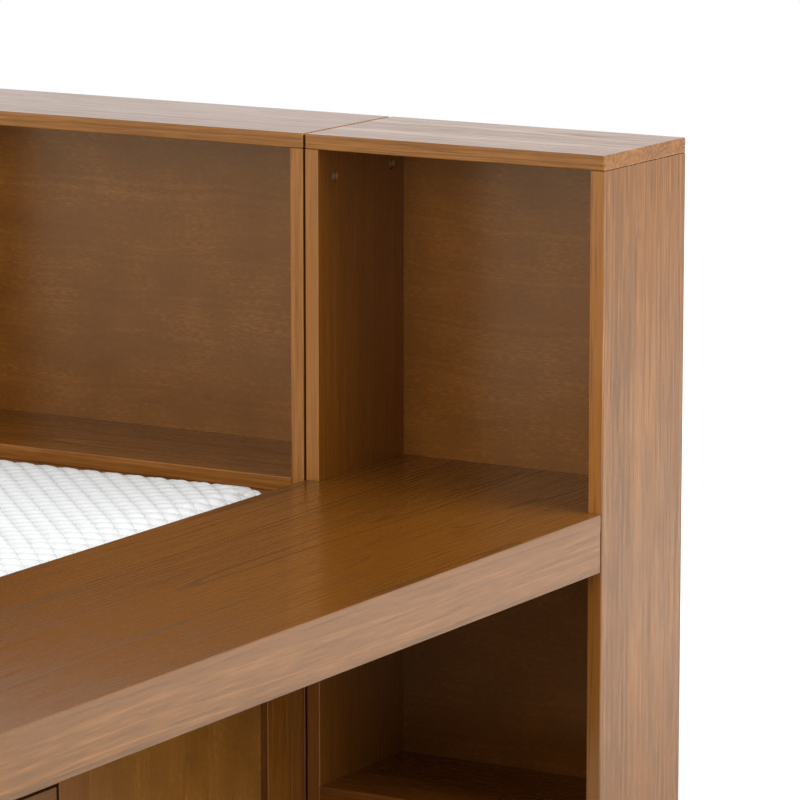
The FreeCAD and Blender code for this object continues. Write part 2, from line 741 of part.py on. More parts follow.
# Two like drawers: an inset front with a scooped top edge, and a box of thin boards with a
# plywood bottom in grooves. Each side has a groove that runs on its runner and ends short of the
# front, where it stops the closing drawer.
FRONT_WIDE = f"({DRAWER_BAY} - 2*drawer_gap_side)"
FRONT_HIGH = "(drawer_head - drawer_sill - 2*drawer_gap_high)"
BOX_WIDE = f"({FRONT_WIDE} - 2*box_inset)"
X_BOX = f"({X_FRAME} - drawer_deep)"
GROOVE_HIGH = "(runner_high + 2*slide_gap)"

for drawer, y_bay in (
    ("head_drawer", f"({Y_FOOT} + stile_wide + {BAY_STEP})"),
    ("foot_drawer", f"({Y_FOOT} + stile_wide)"),
):
    y_front = f"({y_bay} + drawer_gap_side)"
    y_box = f"({y_front} + box_inset)"

    front = board(
        f"{drawer}_front", ("board", FRONT_WIDE, FRONT_HIGH),
        (X_FRAME, y_front, "drawer_sill + drawer_gap_high"),
    )
    drill(
        front, f"{drawer}_scoop", "x", "0", "board", "2*scoop_radius",
        ((f"{FRONT_WIDE}/2", f"{FRONT_HIGH} - scoop_deep + scoop_radius"),),
    )
    sides = board(
        f"{drawer}_sides", ("drawer_deep", "box_board", "box_high"), (X_BOX, y_box, Z_BOX),
        copies=(("0", "0"), ("0", f"{BOX_WIDE} - box_board")), eased="0",
    )
    cut_box(
        sides, f"{drawer}_runner_grooves", ("0", "0", "runner_rise"),
        ("drawer_deep - runner_set + slide_gap", "runner_groove", GROOVE_HIGH),
        repeats=(("0", "0"), ("0", f"{BOX_WIDE} - runner_groove")),
    )
    cut_box(
        sides, f"{drawer}_bottom_grooves",
        ("0", "box_board - box_ply_groove", "box_ply_rise"),
        ("drawer_deep", "box_ply_groove", "box_ply"),
        repeats=(("0", "0"), ("0", f"{BOX_WIDE} - 2*box_board + box_ply_groove")),
    )
    board(
        f"{drawer}_back",
        ("box_board", f"{BOX_WIDE} - 2*box_board", "box_high - box_ply_rise - box_ply"),
        (X_BOX, f"{y_box} + box_board", f"{Z_BOX} + box_ply_rise + box_ply"), eased="0",
    )
    board(
        f"{drawer}_bottom",
        ("drawer_deep", f"{BOX_WIDE} - 2*box_board + 2*box_ply_groove", "box_ply"),
        (X_BOX, f"{y_box} + box_board - box_ply_groove", f"{Z_BOX} + box_ply_rise"), eased="0",
    )


# Mattress: a crowned cushion with rolled edges, whose sides draw in between the two rolls. Each
# section is (height, how far it stands in from the full outline).
mattress = new_body(
    "mattress",
    (f"{X_LEFT} + {MAIN_WIDE}/2", f"{Y_FOOT} + {BED_LONG}/2", "slat_top + mattress_lift"),
)
SHOULDER = "(mattress_thick - mattress_crown)"
MATTRESS_SECTIONS = (
    ("0", "mattress_roll"),
    ("0.3*mattress_roll", "0.3*mattress_roll"),
    ("mattress_roll", "0"),
    (f"{SHOULDER}/2", "mattress_draw"),
    (f"{SHOULDER} - mattress_roll", "0"),
    (f"{SHOULDER} - 0.3*mattress_roll", "0.3*mattress_roll"),
    (SHOULDER, "mattress_roll"),
    (f"{SHOULDER} + 0.7*mattress_crown", "0.16*mattress_wide"),
    (f"{SHOULDER} + mattress_crown", "0.34*mattress_wide"),
)
outlines = []
for number, (height, inset) in enumerate(MATTRESS_SECTIONS, start=1):
    outline = attach(mattress, f"mattress_outline_{number}", "XY_Plane", height)
    draw_cushion_outline(
        outline, f"mattress_wide - 2*{inset}", f"mattress_long - 2*{inset}", "mattress_corner",
    )
    outlines.append(outline)
loft = mattress.newObject("PartDesign::AdditiveLoft", "mattress_cushion")
loft.Profile = outlines[0]
loft.Sections = outlines[1:]
loft.Ruled = True


doc.recompute()
for item in doc.Objects:
    if "Invalid" in item.State or "Error" in item.State:
        raise RuntimeError(f"{item.Label} could not be built: {item.State}")
for body in SUBPARTS:
    if body.Shape.isNull() or not body.Shape.isValid() or not body.Shape.Solids:
        raise RuntimeError(f"{body.Label} has no valid solid")

os.makedirs("parts", exist_ok=True)
for body in SUBPARTS:
    body.Shape.exportStep(f"parts/{body.Label}.step")
    solids = len(body.Shape.Solids)
    print(f"{body.Label}: {solids} solid(s), {body.Shape.Volume / 1e6:.3f} litres")
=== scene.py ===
import math

import bmesh
import bpy
from mathutils import Matrix, Vector


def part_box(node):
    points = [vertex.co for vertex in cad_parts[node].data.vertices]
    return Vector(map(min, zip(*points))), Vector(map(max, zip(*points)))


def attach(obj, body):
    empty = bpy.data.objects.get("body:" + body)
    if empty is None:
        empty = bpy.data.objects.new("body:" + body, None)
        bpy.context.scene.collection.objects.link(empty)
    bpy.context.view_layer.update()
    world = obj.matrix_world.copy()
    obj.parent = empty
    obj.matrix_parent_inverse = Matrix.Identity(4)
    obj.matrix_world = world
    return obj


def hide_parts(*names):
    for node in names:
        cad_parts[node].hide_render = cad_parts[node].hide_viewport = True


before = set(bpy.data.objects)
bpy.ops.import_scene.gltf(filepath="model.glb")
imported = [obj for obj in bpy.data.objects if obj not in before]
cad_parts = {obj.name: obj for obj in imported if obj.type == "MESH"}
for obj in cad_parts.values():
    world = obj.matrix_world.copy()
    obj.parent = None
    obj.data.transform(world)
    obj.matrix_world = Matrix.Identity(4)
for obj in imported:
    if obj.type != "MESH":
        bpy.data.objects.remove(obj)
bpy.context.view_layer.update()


# Bookcase case of the headboard. Its boards are edge-glued pine, planed, wiped with a walnut stain
# and finished with a satin lacquer; they are rabbeted, glued and screwed from inside.
AXES = {"X": Vector((1, 0, 0)), "Y": Vector((0, 1, 0)), "Z": Vector((0, 0, 1))}
MM = 1000.0


def colour(hex_code):
    """Turn an sRGB hex value into the linear colour that shaders take."""
    parts = [int(hex_code[place:place + 2], 16) / 255 for place in (1, 3, 5)]
    linear = [part / 12.92 if part <= 0.04045 else ((part + 0.055) / 1.055) ** 2.4 for part in parts]
    return (*linear, 1.0)


def add(tree, kind, links=None, **settings):
    """Add a node: settings are its properties, links its inputs, each a value or another output."""
    made = tree.nodes.new(kind)
    for name, value in settings.items():
        setattr(made, name, value)
    for socket, value in (links or {}).items():
        if isinstance(value, bpy.types.NodeSocket):
            tree.links.new(value, made.inputs[socket])
        else:
            made.inputs[socket].default_value = value
    return made


def edge_axis(node, along):
    """Give the axis across a board's width, which its long edges face."""
    low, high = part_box(node)
    sizes = dict(zip("XYZ", high - low))
    return max((axis for axis in "XYZ" if axis != along), key=sizes.get)


def board_space(tree, node, along):
    """Give a board's own millimetres: along its grain, across its width and through it."""
    low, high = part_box(node)
    through = next(axis for axis in "XYZ" if axis not in (along, edge_axis(node, along)))
    turn = Matrix((AXES[along], AXES[through].cross(AXES[along]), AXES[through]))
    place = add(tree, "ShaderNodeTexCoord")
    return add(
        tree, "ShaderNodeMapping",
        {
            "Vector": place.outputs["Object"],
            "Location": turn @ (low + high) / 2 * -MM,
            "Rotation": turn.to_euler(),
            "Scale": (MM, MM, MM),
        },
    ).outputs[0]


def grain_layers(tree, space, layers):
    """Give noises stretched along the grain: each has a name, its size in millimetres along,
    across and through the board, and its detail."""
    made = {}
    for layer, (long, wide), detail in layers:
        stretched = add(
            tree, "ShaderNodeVectorMath", {0: space, 1: (1 / long, 1 / wide, 1 / wide)},
            operation="MULTIPLY",
        ).outputs[0]
        made[layer] = add(
            tree, "ShaderNodeTexNoise", {"Vector": stretched, "Scale": 1.0, "Detail": detail},
        ).outputs[0]
    return made


def mix_tone(tree, start, shares):
    """Add layers that swing round a half to a tone, each by its own share."""
    tone = start
    for layer, share in shares:
        centred = add(tree, "ShaderNodeMath", {0: layer, 1: 0.5}, operation="SUBTRACT").outputs[0]
        tone = add(
            tree, "ShaderNodeMath", {0: centred, 1: share, 2: tone}, operation="MULTIPLY_ADD",
        ).outputs[0]
    return tone


# an amber lacquer, and how it lies: the tones where the stain is darkest and palest, and the relief
# of the grain that can still be felt through it, in metres
LACQUER = "#fff5d6"
LACQUER_IOR = 1.53
DARKEST, PALEST = 0.12, 0.88
RELIEF_SHARE = 0.05
RELIEF = 0.00012


def finish_wood(tree, tone, ramp, relief, roughness, dulling=0.2):
    """Colour the wood from its tone, under a thin amber lacquer that lets the grain be felt; the
    dark, open grain soaks the lacquer up and stays duller, by the dulling."""
    stain = add(tree, "ShaderNodeValToRGB", {"Fac": tone})
    stain.color_ramp.elements[0].position = DARKEST
    stain.color_ramp.elements[0].color = colour(ramp[0])
    stain.color_ramp.elements[1].position = PALEST
    stain.color_ramp.elements[1].color = colour(ramp[2])
    stain.color_ramp.elements.new(0.5).color = colour(ramp[1])
    bump = add(
        tree, "ShaderNodeBump", {"Height": relief, "Strength": RELIEF_SHARE, "Distance": RELIEF},
    )
    shader = tree.nodes["Principled BSDF"]
    tree.links.new(stain.outputs["Color"], shader.inputs["Base Color"])
    tree.links.new(bump.outputs[0], shader.inputs["Normal"])
    dull = add(
        tree, "ShaderNodeMapRange",
        {
            "Value": tone, "From Min": 0.2, "From Max": 0.8,
            "To Min": roughness + 0.6 * dulling, "To Max": roughness - 0.4 * dulling,
        },
    ).outputs[0]
    tree.links.new(dull, shader.inputs["Roughness"])
    shader.inputs["Specular Tint"].default_value = colour(LACQUER)
    shader.inputs["IOR"].default_value = LACQUER_IOR


# noises in sawn pine: each one's name, its size along and across the grain in millimetres, and its
# detail. The trunk's slow bends make the arches; fibres and streaks are drawn as coarse as they
# need to show.
PINE_NOISES = (
    ("bend", (800, 170), 1.0), ("waver", (130, 22), 2.0), ("fibres", (48, 1.8), 1.0),
    ("streaks", (150, 5.0), 2.0), ("clouds", (240, 70), 2.0),
)
PINE_SHARES = {"years": 0.18, "fibres": 0.55, "streaks": 0.50, "clouds": 0.22, "luck": 0.14}
KNOT_SHARE = 0.5
END_GRAIN_BOOST = 0.6
# millimetres: the pith's nearest and furthest depth under a stave's face, how far the wavers push
# the rings, the step of the noises that make rings and years, and how far the next stave's grain
# slides along and its rings outwards
PITH_DEPTHS = (22.0, 92.0)
WAVER_REACH = 2.2
RING_STEP = 2.0
YEARS_STEP = 15.0
NEXT_GRAIN = 431.0
NEXT_RINGS = 211.0
# how far a board's seed moves its seams, in staves, and its chances
SEAM_STEP = 0.37
CHANCE_STEP = 13.7


def pine(
    name, node, along, ramp, stave=95.0, seed=1.0, heart=0.0, bend=36.0, roughness=0.22,
    contrast=1.0, edge=0.0, lines=(0.34, 0.30), knots=(),
):
    """Sawn pine under a finish: the hard late wood takes little stain and shows as thin paler lines.
    Rings round a pith below each stave give arches over it and arcs on the end grain; the heart
    sets the pith that many staves to the side, which straightens the grain, and the bend is how
    far the trunk's bends push the rings. The long edges are paler than the faces by the edge share:
    partly because a planed edge takes less stain, and partly as painted light for the front light
    they catch. The lines are how much the pale late wood and the dark early wood count. A knot is
    its place along and across the board and its size, in millimetres."""
    material = bpy.data.materials.new(name)
    material.use_nodes = True
    tree = material.node_tree
    space = board_space(tree, node, along)
    split = add(tree, "ShaderNodeSeparateXYZ", {0: space})
    lengthwise, across, through = split.outputs

    count = add(
        tree, "ShaderNodeMath", {0: across, 1: 1 / stave, 2: SEAM_STEP * seed},
        operation="MULTIPLY_ADD",
    ).outputs[0]
    stave_number = add(tree, "ShaderNodeMath", {0: count}, operation="FLOOR").outputs[0]
    in_stave = add(tree, "ShaderNodeMath", {0: count, 1: stave_number}, operation="SUBTRACT").outputs[0]
    own = add(
        tree, "ShaderNodeMath", {0: stave_number, 1: CHANCE_STEP * seed}, operation="ADD",
    ).outputs[0]
    chance = add(tree, "ShaderNodeTexWhiteNoise", {"W": own}, noise_dimensions="1D")
    luck = add(tree, "ShaderNodeSeparateColor", {0: chance.outputs["Color"]}).outputs
    slid = add(
        tree, "ShaderNodeMath", {0: own, 1: NEXT_GRAIN, 2: lengthwise}, operation="MULTIPLY_ADD",
    ).outputs[0]
    own_space = add(tree, "ShaderNodeCombineXYZ", {0: slid, 1: across, 2: through}).outputs[0]
    layers = grain_layers(tree, own_space, PINE_NOISES)

    # the rings lie round the pith, and bend and waver with the trunk
    beside = add(tree, "ShaderNodeMath", {0: in_stave, 1: luck[0]}, operation="SUBTRACT").outputs[0]
    beside = add(
        tree, "ShaderNodeMath", {0: beside, 1: stave, 2: -heart * stave}, operation="MULTIPLY_ADD",
    ).outputs[0]
    nearest, furthest = PITH_DEPTHS
    below = add(
        tree, "ShaderNodeMath", {0: luck[1], 1: furthest - nearest, 2: nearest},
        operation="MULTIPLY_ADD",
    ).outputs[0]
    below = add(tree, "ShaderNodeMath", {0: through, 1: below}, operation="ADD").outputs[0]
    radius = add(tree, "ShaderNodeCombineXYZ", {0: beside, 1: below}).outputs[0]
    radius = add(tree, "ShaderNodeVectorMath", {0: radius}, operation="LENGTH").outputs["Value"]
    pushes = ((layers["bend"], bend), (layers["waver"], WAVER_REACH), (own, NEXT_RINGS))
    for layer, reach in pushes:
        radius = add(
            tree, "ShaderNodeMath", {0: layer, 1: reach, 2: radius}, operation="MULTIPLY_ADD",
        ).outputs[0]

    # a knot bends the rings round itself
    cores = []
    for knot_along, knot_across, knot_size in knots:
        near = add(
            tree, "ShaderNodeVectorMath", {0: space, 1: (knot_along, knot_across, 0)},
            operation="SUBTRACT",
        ).outputs[0]
        near = add(
            tree, "ShaderNodeVectorMath", {0: near, 1: (0.4 / knot_size, 1 / knot_size, 0)},
            operation="MULTIPLY",
        ).outputs[0]
        near = add(tree, "ShaderNodeVectorMath", {0: near}, operation="LENGTH").outputs["Value"]
        around = add(
            tree, "ShaderNodeMapRange",
            {"Value": near, "From Min": 0.2, "From Max": 1.9, "To Min": knot_size, "To Max": 0.0},
            interpolation_type="SMOOTHSTEP",
        ).outputs[0]
        radius = add(tree, "ShaderNodeMath", {0: radius, 1: around}, operation="ADD").outputs[0]
        cores.append(add(
            tree, "ShaderNodeMapRange",
            {"Value": near, "From Min": 0.1, "From Max": 0.55, "To Min": 1.0, "To Max": 0.5},
            interpolation_type="SMOOTHSTEP",
        ).outputs[0])

    # rings about 3 mm apart, in wet and dry years that come in bands about 15 mm wide
    bands = {}
    for band, step, detail in (("rings", RING_STEP, 2.0), ("years", YEARS_STEP, 1.0)):
        ring_place = add(
            tree, "ShaderNodeMath", {0: radius, 1: 1 / step}, operation="MULTIPLY",
        ).outputs[0]
        bands[band] = add(
            tree, "ShaderNodeTexNoise", {"W": ring_place, "Scale": 1.0, "Detail": detail},
            noise_dimensions="1D",
        ).outputs[0]
    late_wood = add(
        tree, "ShaderNodeMapRange",
        {"Value": bands["rings"], "From Min": 0.52, "From Max": 0.70, "To Min": 0.5},
        interpolation_type="SMOOTHSTEP",
    ).outputs[0]
    dark_lines = add(
        tree, "ShaderNodeMapRange",
        {"Value": bands["rings"], "From Min": 0.46, "From Max": 0.32, "To Min": 0.5},
        interpolation_type="SMOOTHSTEP",
    ).outputs[0]

    tone = mix_tone(
        tree, 0.5,
        [
            (late_wood, lines[0] * contrast), (dark_lines, -lines[1] * contrast),
            (bands["years"], PINE_SHARES["years"] * contrast),
            (layers["fibres"], PINE_SHARES["fibres"] * contrast),
            (layers["streaks"], PINE_SHARES["streaks"] * contrast),
            (layers["clouds"], PINE_SHARES["clouds"] * contrast),
            (luck[2], PINE_SHARES["luck"] * contrast), *((core, KNOT_SHARE) for core in cores),
        ],
    )

    # end grain drinks the stain unevenly, so its rings stand out more; a planed edge drinks less stain,
    # and is lightened further as painted light where the front light falls on it
    normal = add(tree, "ShaderNodeNewGeometry").outputs["Normal"]
    sides = {}
    for side, axis in (("end", along), ("edge", edge_axis(node, along))):
        turned = add(
            tree, "ShaderNodeVectorMath", {0: normal, 1: AXES[axis]}, operation="DOT_PRODUCT",
        ).outputs["Value"]
        turned = add(tree, "ShaderNodeMath", {0: turned}, operation="ABSOLUTE").outputs[0]
        sides[side] = add(
            tree, "ShaderNodeMapRange", {"Value": turned, "From Min": 0.6, "From Max": 0.95},
        ).outputs[0]
    boost = add(
        tree, "ShaderNodeMath", {0: sides["end"], 1: END_GRAIN_BOOST, 2: 1.0},
        operation="MULTIPLY_ADD",
    ).outputs[0]
    swing = add(tree, "ShaderNodeMath", {0: tone, 1: 0.5}, operation="SUBTRACT").outputs[0]
    tone = add(
        tree, "ShaderNodeMath", {0: swing, 1: boost, 2: 0.5}, operation="MULTIPLY_ADD",
    ).outputs[0]
    # the edge share pales the long edges: a lighter planed edge, and painted light where the front light
    # falls
    tone = add(
        tree, "ShaderNodeMath", {0: sides["edge"], 1: edge, 2: tone}, operation="MULTIPLY_ADD",
    ).outputs[0]

    # the hard late wood and the fibres stand up a little
    ridges = add(
        tree, "ShaderNodeMath", {0: late_wood, 1: 3 * lines[0]}, operation="MULTIPLY",
    ).outputs[0]
    relief = add(
        tree, "ShaderNodeMath", {0: layers["fibres"], 1: 0.35, 2: ridges}, operation="MULTIPLY_ADD",
    ).outputs[0]
    finish_wood(tree, tone, ramp, relief, roughness)
    return material


def dress(node, material):
    """Give a CAD piece its finish."""
    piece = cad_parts[node]
    piece.data.materials.clear()
    piece.data.materials.append(material)


WALNUT_STAIN = ("#5a340e", "#7d4a14", "#a06529")
# each board: its node, grain, stave width in millimetres, seed, heart, bend and edge share, which
# pales the long edges both for their lighter stain and as painted light
MAIN_BOARDS = (
    ("main_top_board", "X", 105.0, 1.0, 0.8, 20.0, 0.10),
    ("main_left_side", "Z", 105.0, 2.0, 1.4, 14.0, 0.26),
    ("main_right_side", "Z", 105.0, 3.0, 1.4, 14.0, 0.26),
    ("main_divider", "Z", 105.0, 4.0, 1.4, 14.0, 0.26),
    ("main_shelf", "X", 104.0, 5.0, 0.0, 30.0, 0.0),
    ("main_bottom_board", "X", 104.0, 6.0, 0.0, 30.0, 0.0),
    ("main_plinth", "X", 95.0, 7.0, 0.0, 30.0, 0.0),
    ("main_stretcher", "X", 100.0, 8.0, 0.0, 30.0, 0.0),
)
for node, along, stave, seed, heart, bend, edge in MAIN_BOARDS:
    label = f"Walnut-stained pine, {node}"
    wood = pine(label, node, along, WALNUT_STAIN, stave, seed, heart, bend, edge=edge)
    dress(node, wood)


# Thin backs of both cases: three-ply with a rotary-cut face, stained and lacquered with the rest and
# nailed into the rabbets.
PLY_NOISES = (("swell", (230, 95), 2.0), ("clouds", (80, 55), 3.0))
PLY_SHARES = {"contours": 0.26, "dashes": 0.85, "clouds": 0.50}
# millimetres: how far the swells push the contours, the step of their noise, the length and height
# of the dashes, and how far a panel's seed moves its pattern along and across
SWELL_REACH = 46.0
CONTOUR_STEP = 7
DASH = (10, 1.5)
PANEL_STEP = (733, 391)


def plywood(name, node, along, ramp, seed=1.0, roughness=0.26, contrast=1.0):
    """Rotary-cut veneer under a finish: the knife peels the log, so the rings run as wide wavering
    contours and the fibres as short fine dashes."""
    material = bpy.data.materials.new(name)
    material.use_nodes = True
    tree = material.node_tree
    space = board_space(tree, node, along)
    space = add(
        tree, "ShaderNodeVectorMath", {0: space, 1: (seed * PANEL_STEP[0], seed * PANEL_STEP[1], 0)},
        operation="ADD",
    ).outputs[0]
    layers = grain_layers(tree, space, PLY_NOISES)
    split = add(tree, "ShaderNodeSeparateXYZ", {0: space})
    contour = add(
        tree, "ShaderNodeMath", {0: layers["swell"], 1: SWELL_REACH, 2: split.outputs[1]},
        operation="MULTIPLY_ADD",
    ).outputs[0]
    contour_place = add(
        tree, "ShaderNodeMath", {0: contour, 1: 1 / CONTOUR_STEP}, operation="MULTIPLY",
    ).outputs[0]
    contours = add(
        tree, "ShaderNodeTexNoise", {"W": contour_place, "Scale": 1.0, "Detail": 2.0},
        noise_dimensions="1D",
    ).outputs[0]

    # the dashes follow the contours; a real fibre is finer, and is drawn as coarse as it must be to show
    dash_space = add(
        tree, "ShaderNodeCombineXYZ", {0: split.outputs[0], 1: contour, 2: split.outputs[2]},
    ).outputs[0]
    dashes = grain_layers(tree, dash_space, (("dashes", DASH, 2.0),))["dashes"]
    tone = mix_tone(
        tree, 0.5,
        (
            (contours, PLY_SHARES["contours"] * contrast),
            (dashes, PLY_SHARES["dashes"] * contrast),
            (layers["clouds"], PLY_SHARES["clouds"] * contrast),
        ),
    )
    finish_wood(tree, tone, ramp, dashes, roughness, dulling=0.04)
    return material


WALNUT_VENEER = ("#58320c", "#734414", "#8e5b27")
for seed, node in enumerate(("main_back_panel", "wing_back_panel"), start=1):
    label = f"Walnut-stained plywood, {node}"
    dress(node, plywood(label, node, "X", WALNUT_VENEER, seed, contrast=1.05))


# Wing case beside it, of the same edge-glued boards, rabbeted, glued and bolted to the first case.
# Its tall cubby stands on the ledge's tongue, and its end panel closes the headboard's outer end.
END_PANEL_KNOT = (384.0, 20.0, 8.0)
# each board: its node, grain, stave width in millimetres, seed, heart, bend, contrast, edge share
# (paler long edges, for their lighter stain and as painted light), knots
WING_BOARDS = (
    ("wing_top_board", "X", 74.0, 11.0, 0.0, 20.0, 1.4, 0.10, ()),
    ("wing_inner_side", "Z", 105.0, 12.0, 1.6, 12.0, 0.6, 0.24, ()),
    ("wing_outer_side", "Z", 80.0, 12.67, 1.2, 20.0, 1.6, 0.42, (END_PANEL_KNOT,)),
    ("wing_bottom_shelf", "X", 104.0, 14.0, 0.0, 30.0, 1.0, 0.0, ()),
    ("wing_plinth", "X", 95.0, 15.0, 0.0, 30.0, 1.0, 0.0, ()),
    ("wing_ledge_cleats", "Y", 60.0, 16.0, 0.0, 20.0, 1.0, 0.0, ()),
)
for node, along, stave, seed, heart, bend, contrast, edge, knots in WING_BOARDS:
    label = f"Walnut-stained pine, {node}"
    build = {"contrast": contrast, "edge": edge, "knots": knots}
    dress(node, pine(label, node, along, WALNUT_STAIN, stave, seed, heart, bend, **build))


# Bolts and sleeve nuts that hold the two cases and the head rail together: turned steel with a
# bright zinc plate, which is a pale, slightly cloudy grey.
SPANGLES_PER_METRE = 900.0
ZINC = ("#9c9a95", "#c6c5c1")


def zinc_plate(name):
    """Bright zinc on turned steel: a clear metal with a grey spangle about 1 mm wide."""
    material = bpy.data.materials.new(name)
    material.use_nodes = True
    tree = material.node_tree
    shader = tree.nodes["Principled BSDF"]
    place = add(tree, "ShaderNodeTexCoord")
    spangle = add(
        tree, "ShaderNodeTexNoise",
        {"Vector": place.outputs["Object"], "Scale": SPANGLES_PER_METRE, "Detail": 2.0},
    ).outputs[0]
    tint = add(tree, "ShaderNodeValToRGB", {"Fac": spangle})
    tint.color_ramp.elements[0].position = 0.3
    tint.color_ramp.elements[0].color = colour(ZINC[0])
    tint.color_ramp.elements[1].position = 0.7
    tint.color_ramp.elements[1].color = colour(ZINC[1])
    tree.links.new(tint.outputs["Color"], shader.inputs["Base Color"])
    wear = add(
        tree, "ShaderNodeMapRange", {"Value": spangle, "To Min": 0.42, "To Max": 0.58},
    ).outputs[0]
    tree.links.new(wear, shader.inputs["Roughness"])
    shader.inputs["Metallic"].default_value = 1.0
    return material


zinc = zinc_plate("Bright zinc-plated steel")
for node in ("case_bolts", "case_sleeve_nuts", "bed_bolts"):
    dress(node, zinc)


# Ledge: a board of wide glued staves whose grain runs along the bed, with a tongue into the wing. An
# apron is glued under its outer edge, and a gable carries its foot end.
LEDGE_STAIN = ("#53300c", "#794712", "#875219")
APRON_STAIN = ("#52300d", "#754512", "#9a6026")
# each board: its node, grain, stain, stave width in millimetres, seed, heart, bend, contrast, lines
LEDGE_BOARDS = (
    ("ledge_top_board", "Y", LEDGE_STAIN, 105.0, 24.0, 0.6, 26.0, 1.1, (0.0, 0.50)),
    ("ledge_apron", "Y", APRON_STAIN, 140.0, 22.0, 0.0, 46.0, 1.1, (0.34, 0.20)),
    ("ledge_foot_gable", "Z", WALNUT_STAIN, 105.0, 23.0, 0.0, 30.0, 1.0, (0.34, 0.30)),
)
for node, along, ramp, stave, seed, heart, bend, contrast, lines in LEDGE_BOARDS:
    label = f"Walnut-stained pine, {node}"
    build = {"contrast": contrast, "lines": lines}
    dress(node, pine(label, node, along, ramp, stave, seed, heart, bend, **build))


# Sides and ends of the bed box: stiles and rails of the same stained pine, jointed and glued round
# recessed plywood panels that sit in their grooves.
FRAME_STAVE, FRAME_HEART, FRAME_BEND = 95.0, 0.7, 20.0
FRAME_BOARDS = (
    ("right_head_stile", "Z"), ("right_mid_stile", "Z"), ("right_foot_stile", "Z"),
    ("right_head_top_rail", "Y"), ("right_head_bottom_rail", "Y"),
    ("right_drawer_top_rail", "Y"), ("right_drawer_bottom_rail", "Y"), ("right_drawer_post", "Z"),
    ("left_head_stile", "Z"), ("left_mid_stile", "Z"), ("left_foot_stile", "Z"),
    ("left_top_rail", "Y"), ("left_bottom_rail", "Y"),
    ("foot_stiles", "Z"), ("foot_top_rail", "X"), ("foot_bottom_rail", "X"), ("head_rail", "X"),
)
for seed, (node, along) in enumerate(FRAME_BOARDS, start=31):
    label = f"Walnut-stained pine, {node}"
    build = (FRAME_STAVE, seed, FRAME_HEART, FRAME_BEND)
    dress(node, pine(label, node, along, WALNUT_STAIN, *build))
PANEL_VENEER = ("#603c14", "#84541d", "#a87033")
for seed, node in enumerate(("right_side_panel", "left_side_panels", "foot_panel"), start=3):
    dress(node, plywood(f"Walnut-stained plywood, {node}", node, "Z", PANEL_VENEER, seed))


# Slatted base, drawer bays and runners: the same pine, planed but left unstained, with a thin matt
# seal; the slats lie on cleats and a centre beam, and the rest is screwed.
SEAL_ROUGHNESS = 0.55
NATURAL_PINE = ("#b58a55", "#d2ab74", "#e2c493")
BASE_BOARDS = (
    ("slats", "X", 65.0), ("slat_cleats", "Y", 60.0), ("centre_beam", "Y", 60.0),
    ("beam_legs", "Z", 60.0), ("drawer_partitions", "X", 95.0), ("drawer_runners", "X", 60.0),
    ("ledge_side_cleat", "Y", 60.0), ("ledge_battens", "X", 60.0),
)
for seed, (node, along, stave) in enumerate(BASE_BOARDS, start=61):
    label = f"Sealed pine, {node}"
    dress(node, pine(label, node, along, NATURAL_PINE, stave, seed, roughness=SEAL_ROUGHNESS))
NATURAL_VENEER = ("#bb935f", "#d3b07c", "#e3c99c")
label = "Sealed plywood, drawer_bay_back"
dress(
    "drawer_bay_back", plywood(label, "drawer_bay_back", "Y", NATURAL_VENEER, 7, SEAL_ROUGHNESS),
)


# Two drawers: a stained front with a scooped finger grip, and a box of unstained boards rabbeted and
# glued round a plywood bottom.
FRONT_STAVE, BOX_STAVE = 95.0, 70.0
for seed, drawer in enumerate(("head_drawer", "foot_drawer"), start=81):
    front = f"{drawer}_front"
    dress(front, pine(f"Walnut-stained pine, {front}", front, "Y", WALNUT_STAIN, FRONT_STAVE, seed))
    for part, along in (("sides", "X"), ("back", "Y")):
        node = f"{drawer}_{part}"
        label = f"Sealed pine, {node}"
        build = (NATURAL_PINE, BOX_STAVE, seed + 5)
        dress(node, pine(label, node, along, *build, roughness=SEAL_ROUGHNESS))
    node = f"{drawer}_bottom"
    label = f"Sealed plywood, {node}"
    dress(node, plywood(label, node, "Y", NATURAL_VENEER, seed, SEAL_ROUGHNESS))


# Mattress: a foam core in a white knitted cover. The top is puffed in small diamonds by the knit, the
# sides draw in along two stitched lines, and a rolled tape edge closes the seams round top and foot.
mattress_low, mattress_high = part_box("mattress")
MATTRESS_SIZE = mattress_high - mattress_low
MATTRESS_MIDDLE = (mattress_low + mattress_high) / 2
# metres: the corners' radius in plan, the roll at top and foot, the room left for the cover to
# swell, the mesh's cells, the most it may swell, and the puffs' height and spacing
MATTRESS_CORNER = 0.030
MATTRESS_ROLL = 0.012
CROWN = 0.003
BASE_CELL = 0.0275
SWELL_LIMIT = 0.004
PUFF = 0.0036
PUFF_CELL = 0.0235
PUFF_CUTS = 7
PUFF_FADE = 0.005
# how far up the side the mesh is cut and the border is stitched
SIDE_CUTS = (0.24, 0.36, 0.5, 0.64, 0.76)
BORDER_LINES = (0.36, 0.64)
CLOTH_PRESSURE = 4
CLOTH_STEPS = 20
# metres: the tape's radius and how far from top and foot it runs
TAPE = 0.003
TAPE_SET = 0.016
# the grey painted shade in the grooves between the puffs, the knit's darker stitch and its pale yarn;
# the yarn's loops are finer than a millimetre and are drawn about 2.4 mm wide, as coarse as they need to
# show
KNIT_AND_GROOVE_SHADE = ("#bcc3c7", "#eff2f3", "#f9fbfb")
YARNS_PER_METRE = 420.0
# how wide the painted groove shade is on the lattice, and how far it darkens the yarn
GROOVE_SHADE_WIDTH = 0.2
GROOVE_SHADE_SHARE = 0.32


